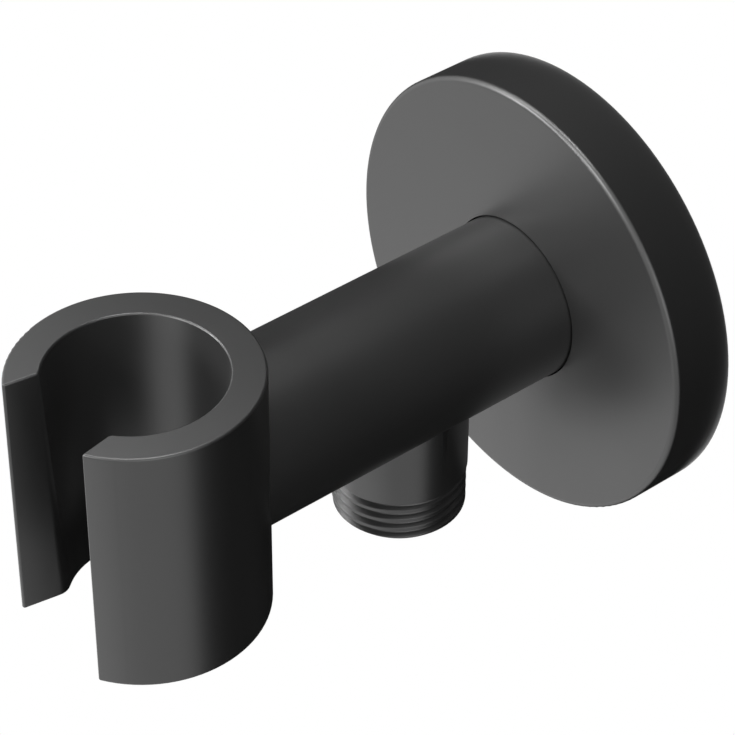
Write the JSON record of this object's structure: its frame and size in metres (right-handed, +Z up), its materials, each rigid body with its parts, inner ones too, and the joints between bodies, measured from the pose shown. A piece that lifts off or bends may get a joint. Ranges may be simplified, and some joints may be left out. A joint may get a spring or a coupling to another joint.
{
  "type": "hand shower holder",
  "caption": "Wall outlet with hand shower holder: round rosette, level arm, threaded hose outlet below and a slotted tapered cup at the end.",
  "frame": {"origin": "centre of the rosette's wall side, in the plane of the wall, on the arm's axis", "axes": "+Z up, +Y into the wall, so the arm runs along -Y and the cup's slot faces -Y; +X is to the right as seen from the room"},
  "size_m": [0.0722, 0.11, 0.0722],
  "materials": {
    "coated_brass": "satin black coating on brass",
    "bare_brass": "turned",
    "stainless_steel": "bright",
    "seal_rubber": "smooth",
    "valve_plastic": "moulded",
    "poppet_plastic": "moulded"
  },
  "bodies": {
    "holder": {"holder_body": "coated_brass", "rosette": "coated_brass", "rosette_o_ring": "seal_rubber", "wall_nipple": "bare_brass", "nipple_o_ring_front": "seal_rubber", "nipple_o_ring_rear": "seal_rubber", "wall_gasket": "seal_rubber", "grub_screw": "stainless_steel", "valve_cartridge": "valve_plastic", "cartridge_o_ring": "seal_rubber", "valve_guide": "valve_plastic", "valve_spring": "stainless_steel"},
    "poppet": {"valve_poppet": "poppet_plastic", "poppet_seal": "seal_rubber"}
  },
  "joints": [
    {"name": "poppet_slide", "type": "slide", "parent": "holder", "child": "poppet", "axis": [0, 0, -1], "range_m": [0, 0.0024], "stiffness_N_per_m": 25, "springref_m": -0.005, "deforming": ["valve_spring"]}
  ]
}
